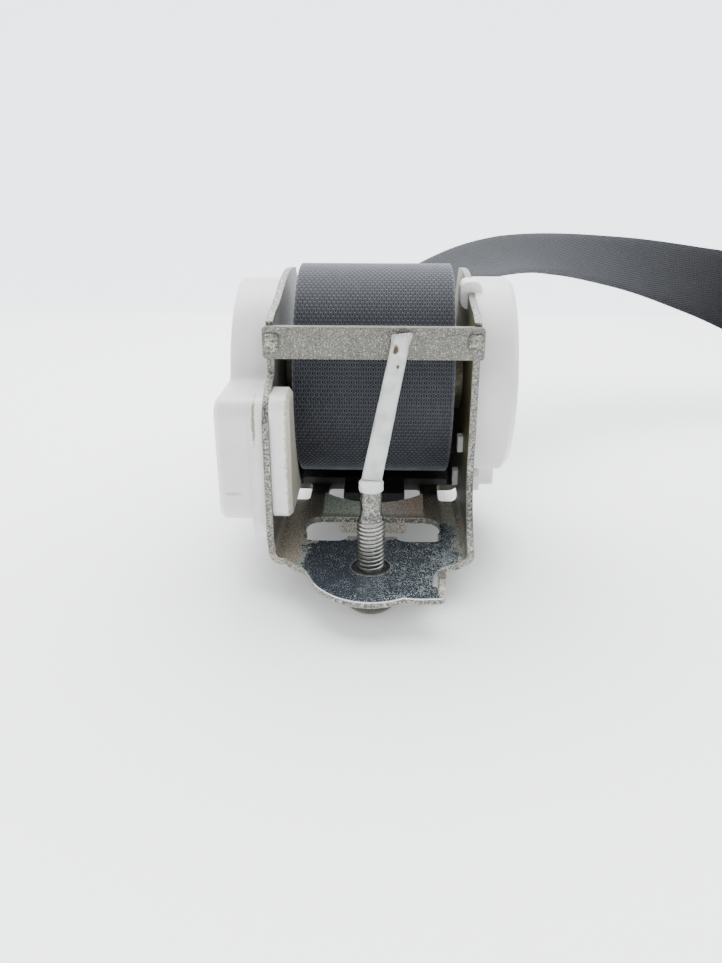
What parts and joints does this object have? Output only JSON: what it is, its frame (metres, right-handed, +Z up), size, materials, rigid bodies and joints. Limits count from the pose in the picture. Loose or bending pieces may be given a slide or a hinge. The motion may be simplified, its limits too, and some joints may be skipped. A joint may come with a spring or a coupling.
{
  "type": "seat belt retractor",
  "caption": "Seat belt: locking retractor in a U-shaped steel frame with bolt, spring and sensor covers, and webbing that ends in a tongue and lap anchor plate.",
  "frame": {"origin": "anchor bolt's axis at the underside of the frame's base plate", "axes": "+X right along the spool, +Y away from the mounting tab, +Z up from the base plate"},
  "size_m": [0.3855, 0.2464, 0.0901],
  "materials": {
    "zinc_steel": "zinc plated, fine sparkle",
    "bolt_steel": "zinc plated",
    "spring_steel": "hardened",
    "plate_steel": "polished",
    "cast_alloy": "die cast",
    "white_plastic": "milky, satin",
    "keeper_plastic": "translucent white",
    "black_plastic": "satin",
    "webbing": "woven polyester"
  },
  "bodies": {
    "retractor": {"frame": "zinc_steel", "tie_bar": "zinc_steel", "anchor_bolt": "bolt_steel", "bolt_keeper": "keeper_plastic", "left_bush": "black_plastic", "right_bush": "black_plastic", "pawl_pin": "bolt_steel", "mechanism_plate": "white_plastic", "lock_cover": "white_plastic", "sensor_housing": "white_plastic", "lever_pin": "bolt_steel", "sensor_cap": "white_plastic", "spring_cup": "white_plastic", "mainspring": "spring_steel", "spring_cover": "white_plastic", "web_guide": "black_plastic", "strap_run": "webbing", "strap_loop": "webbing", "strap_end": "webbing", "tongue_stop": "black_plastic", "anchor_plate": "plate_steel"},
    "spool": {"spool_core": "cast_alloy", "web_end_pin": "bolt_steel", "web_roll": "webbing", "torsion_bar": "bolt_steel", "ratchet_wheel": "spring_steel", "spring_arbor": "black_plastic"},
    "pawl": {"lock_pawl": "spring_steel"},
    "pilot": {"pilot_wheel": "black_plastic"},
    "lever": {"sensor_lever": "black_plastic"},
    "ball": {"sensor_ball": "bolt_steel"},
    "tongue": {"tongue_plate": "plate_steel", "tongue_grip": "black_plastic"}
  },
  "joints": [
    {"name": "spool_spin", "type": "hinge", "parent": "retractor", "child": "spool", "pos_m": [0, 0.054, 0.0463], "axis": [1, 0, 0], "continuous": true},
    {"name": "pilot_turn", "type": "hinge", "parent": "spool", "child": "pilot", "pos_m": [-0.036, 0.054, 0.0463], "axis": [1, 0, 0], "range_deg": [0, 10]},
    {"name": "pawl_swing", "type": "hinge", "parent": "retractor", "child": "pawl", "pos_m": [-0.0324, 0.04552, 0.023], "axis": [1, 0, 0], "range_deg": [0, 10]},
    {"name": "ball_roll", "type": "slide", "parent": "retractor", "child": "ball", "axis": [0, 1, 0], "range_m": [0, 0.00075]},
    {"name": "lever_tilt", "type": "hinge", "parent": "retractor", "child": "lever", "pos_m": [-0.036, 0.0236, 0.0226], "axis": [-1, 0, 0], "range_deg": [0, 7.5]},
    {"name": "tongue_slide", "type": "slide", "parent": "retractor", "child": "tongue", "axis": [0, 1, 0], "range_m": [-0.008, 0.006]}
  ],
  "couplings": [
    {"joint": "pawl_swing", "follows": "pilot_turn", "ratio": 1},
    {"joint": "lever_tilt", "follows": "ball_roll", "rad_per_m": 174.52}
  ]
}
